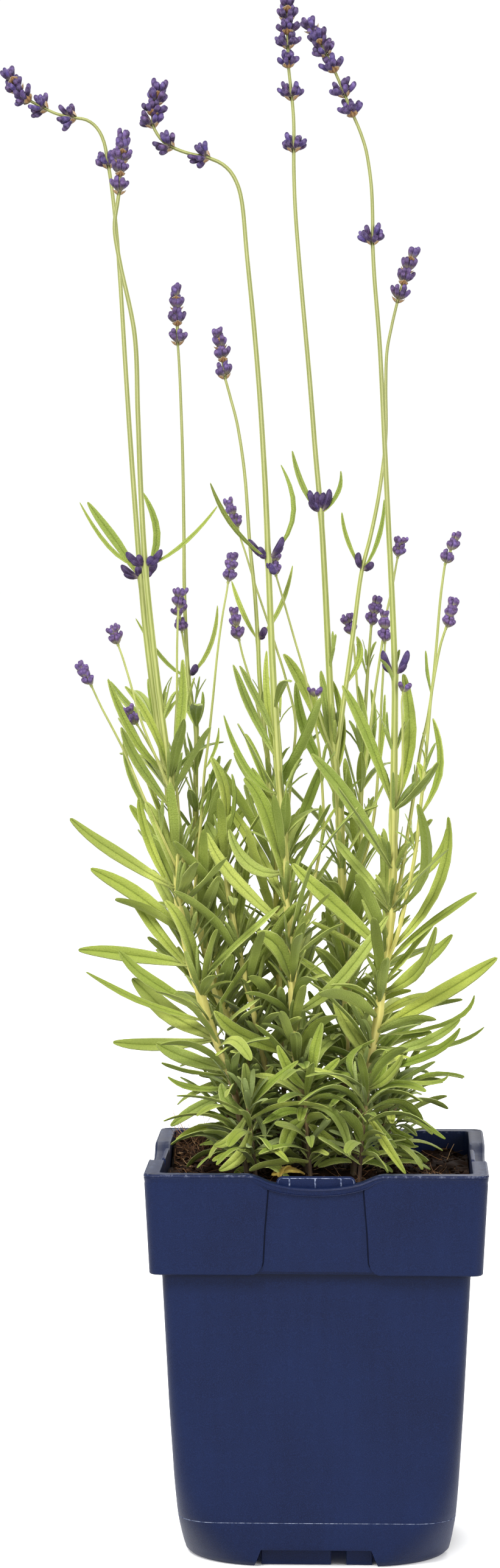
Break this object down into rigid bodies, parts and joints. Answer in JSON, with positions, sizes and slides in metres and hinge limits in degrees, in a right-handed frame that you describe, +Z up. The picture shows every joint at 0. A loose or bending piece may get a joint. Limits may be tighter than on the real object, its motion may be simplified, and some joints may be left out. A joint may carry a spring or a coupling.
{
  "type": "potted lavender",
  "caption": "Flowering lavender clump in a square moulded nursery pot with a deep collar, its tall bare stalks carrying whorled flower spikes above a leafy base.",
  "frame": {"origin": "middle of the pot's foot, on the surface that the pot stands on", "axes": "+Z up along the stems, -Y the front of the pot as it was pictured, +X to the right of that view"},
  "size_m": [0.193, 0.13, 0.6039],
  "materials": {
    "pot_plastic": "dark navy blue moulded plastic with a fine satin grain, scuffed along the rim",
    "peat": "dark brown crumbly peat with pale fibres",
    "leafy_stem": "matt yellow-green stems and grey-green leaves with short pale hairs",
    "calyx": "matt dusky violet, felted"
  },
  "bodies": {
    "root": {"pot": "pot_plastic", "peat": "peat", "stem_left_front": "leafy_stem", "spike_left_front_1": "calyx", "spike_left_front_2": "calyx", "spike_left_front_3": "calyx", "spike_left_front_4": "calyx", "spike_left_front_5": "calyx", "spike_left_front_6": "calyx", "stem_left_back": "leafy_stem", "spike_left_back_1": "calyx", "stem_centre": "leafy_stem", "spike_centre_1": "calyx", "spike_centre_2": "calyx", "spike_centre_3": "calyx", "stem_middle_back": "leafy_stem", "spike_middle_back_1": "calyx", "spike_middle_back_2": "calyx", "spike_middle_back_3": "calyx", "stem_right": "leafy_stem", "spike_right_1": "calyx", "spike_right_2": "calyx", "spike_right_3": "calyx", "spike_right_4": "calyx", "stem_left_slim": "leafy_stem", "spike_left_slim_1": "calyx", "spike_left_slim_2": "calyx", "stem_centre_slim": "leafy_stem", "spike_centre_slim_1": "calyx", "spike_centre_slim_2": "calyx", "stem_right_back": "leafy_stem", "spike_right_back_1": "calyx", "spike_right_back_2": "calyx", "spike_right_back_3": "calyx", "spike_right_back_4": "calyx", "stem_inner_shoot": "leafy_stem", "stem_tuft_front": "leafy_stem", "stem_tuft_front_left": "leafy_stem", "stem_tuft_front_right": "leafy_stem", "stem_tuft_right": "leafy_stem", "stem_tuft_left": "leafy_stem", "stem_tuft_back_left": "leafy_stem", "stem_tuft_back": "leafy_stem", "stem_tuft_back_right": "leafy_stem"}
  },
  "joints": []
}
